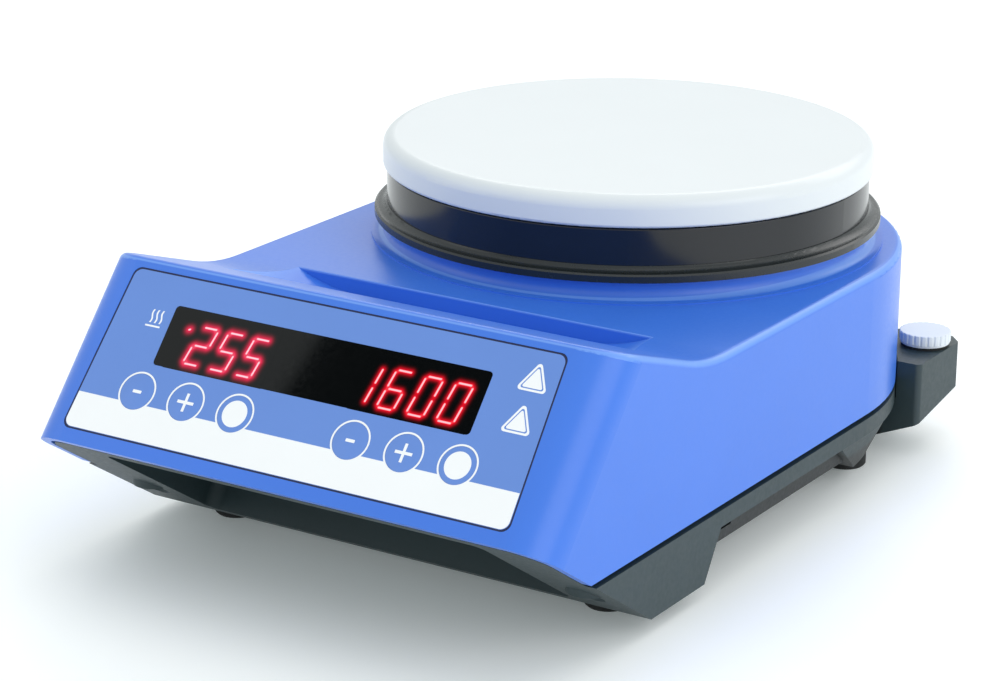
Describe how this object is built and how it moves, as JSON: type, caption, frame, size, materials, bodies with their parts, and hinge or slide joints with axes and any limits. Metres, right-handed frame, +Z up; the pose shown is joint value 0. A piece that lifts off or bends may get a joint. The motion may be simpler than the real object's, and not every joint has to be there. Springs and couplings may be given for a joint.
{
  "type": "hot-plate magnetic stirrer",
  "caption": "Compact laboratory hot-plate magnetic stirrer with round white plate, sloping keypad with twin digit displays and a plugged thread for a support rod.",
  "frame": {"origin": "on the bench, in the middle plane of the housing, 1.25 mm behind the middle of its length and 41 mm in front of the plate's axis", "axes": "+X to the right of a person facing the displays, +Y from the keypad to the rear, +Z up"},
  "size_m": [0.141, 0.2255, 0.0835],
  "materials": {
    "housing_blue": "fine satin, moulded",
    "base_grey": "satin, moulded",
    "foil_blue": "printed film, satin",
    "window_smoke": "smoked, glossy",
    "key_print": "printed film over a hard cap",
    "switch_black": "moulded",
    "module_red": "tinted seven-segment block",
    "board_green": "solder mask",
    "screw_steel": "zinc plated",
    "foot_rubber": "matt",
    "core_steel": "lacquered laminations",
    "capacitor_sleeve": "shrink sleeve",
    "relay_case": "moulded",
    "sink_aluminium": "extruded",
    "fuse_glass": "tube with clips",
    "motor_steel": "zinc plated sheet",
    "bracket_steel": "pressed sheet",
    "coil_copper": "enamelled copper wire",
    "bearing_steel": "ground",
    "shaft_steel": "ground",
    "fan_plastic": "moulded",
    "carrier_aluminium": "turned",
    "magnet_ferrite": "sintered",
    "plate_white": "white enamel, satin",
    "element_mica": "mica with etched track",
    "pressure_steel": "sheet",
    "insulation_fibre": "mineral fibre felt",
    "shield_aluminium": "sheet",
    "collar_black": "black enamel, satin",
    "flange_black": "moulded heat-resistant resin",
    "connector_grey": "moulded",
    "inlet_black": "moulded",
    "pin_brass": "nickel plated",
    "rocker_black": "moulded",
    "plug_steel": "light grey, knurled",
    "washer_light": "flat"
  },
  "bodies": {
    "stirrer_body": {"upper_housing": "housing_blue", "base_tray": "base_grey", "front_foil": "foil_blue", "display_window": "window_smoke", "key_switches": "switch_black", "display_board": "board_green", "display_board_screws": "screw_steel", "temperature_display": "module_red", "speed_display": "module_red", "rubber_feet": "foot_rubber", "housing_screws": "screw_steel", "power_board": "board_green", "power_board_screws": "screw_steel", "transformer": "core_steel", "filter_capacitors": "capacitor_sleeve", "heater_relay": "relay_case", "triac_heatsink": "sink_aluminium", "fuse": "fuse_glass", "motor_can": "motor_steel", "motor_end_plate": "motor_steel", "motor_bracket": "bracket_steel", "bracket_screws": "screw_steel", "stator_stack": "core_steel", "stator_coils": "coil_copper", "motor_bearings": "bearing_steel", "heating_plate": "plate_white", "heating_element": "element_mica", "pressure_plate": "pressure_steel", "insulation_disc": "insulation_fibre", "heat_shield": "shield_aluminium", "plate_collar": "collar_black", "flange_ring": "flange_black", "plate_standoffs": "bearing_steel", "standoff_screws": "screw_steel", "plate_sensor": "bearing_steel", "thermal_cutout": "fuse_glass", "rear_panel": "connector_grey", "rear_panel_screws": "screw_steel", "mains_inlet": "inlet_black", "inlet_pins": "pin_brass", "switch_frame": "inlet_black", "rod_block": "base_grey", "block_screws": "screw_steel"},
    "stirring_rotor": {"motor_shaft": "shaft_steel", "rotor_core": "core_steel", "cooling_fan": "fan_plastic", "magnet_carrier": "carrier_aluminium", "drive_magnets": "magnet_ferrite"},
    "rocker": {"power_rocker": "rocker_black"},
    "plug_rings": {"plug_seal": "foot_rubber", "plug_washer": "washer_light"},
    "plug": {"thread_plug": "plug_steel"},
    "cooler_button": {"cooler_key": "key_print"},
    "hotter_button": {"hotter_key": "key_print"},
    "heater_button": {"heater_key": "key_print"},
    "slower_button": {"slower_key": "key_print"},
    "faster_button": {"faster_key": "key_print"},
    "stirrer_button": {"stirrer_key": "key_print"}
  },
  "joints": [
    {"name": "cooler_press", "type": "slide", "parent": "stirrer_body", "child": "cooler_button", "axis": [0, 0.7632, -0.6461], "range_m": [0, 0.0005], "stiffness_N_per_m": 1000},
    {"name": "hotter_press", "type": "slide", "parent": "stirrer_body", "child": "hotter_button", "axis": [0, 0.7632, -0.6461], "range_m": [0, 0.0005], "stiffness_N_per_m": 1000},
    {"name": "heater_press", "type": "slide", "parent": "stirrer_body", "child": "heater_button", "axis": [0, 0.7632, -0.6461], "range_m": [0, 0.0005], "stiffness_N_per_m": 1000},
    {"name": "slower_press", "type": "slide", "parent": "stirrer_body", "child": "slower_button", "axis": [0, 0.7632, -0.6461], "range_m": [0, 0.0005], "stiffness_N_per_m": 1000},
    {"name": "faster_press", "type": "slide", "parent": "stirrer_body", "child": "faster_button", "axis": [0, 0.7632, -0.6461], "range_m": [0, 0.0005], "stiffness_N_per_m": 1000},
    {"name": "stirrer_press", "type": "slide", "parent": "stirrer_body", "child": "stirrer_button", "axis": [0, 0.7632, -0.6461], "range_m": [0, 0.0005], "stiffness_N_per_m": 1000},
    {"name": "rotor_spin", "type": "hinge", "parent": "stirrer_body", "child": "stirring_rotor", "pos_m": [0, 0.041, 0.03], "axis": [0, 0, 1], "continuous": true},
    {"name": "rocker_tilt", "type": "hinge", "parent": "stirrer_body", "child": "rocker", "pos_m": [0.02, 0.0985, 0.038], "axis": [1, 0, 0], "range_deg": [-24, 0]},
    {"name": "plug_lift", "type": "slide", "parent": "stirrer_body", "child": "plug_rings", "axis": [0, 0, 1], "range_m": [0, 0.011]},
    {"name": "plug_turn", "type": "hinge", "parent": "plug_rings", "child": "plug", "pos_m": [0.0638, 0.088, 0.026], "axis": [0, 0, 1], "range_deg": [0, 3168]}
  ],
  "couplings": [
    {"joint": "plug_turn", "follows": "plug_lift", "rad_per_m": 5026.5}
  ]
}
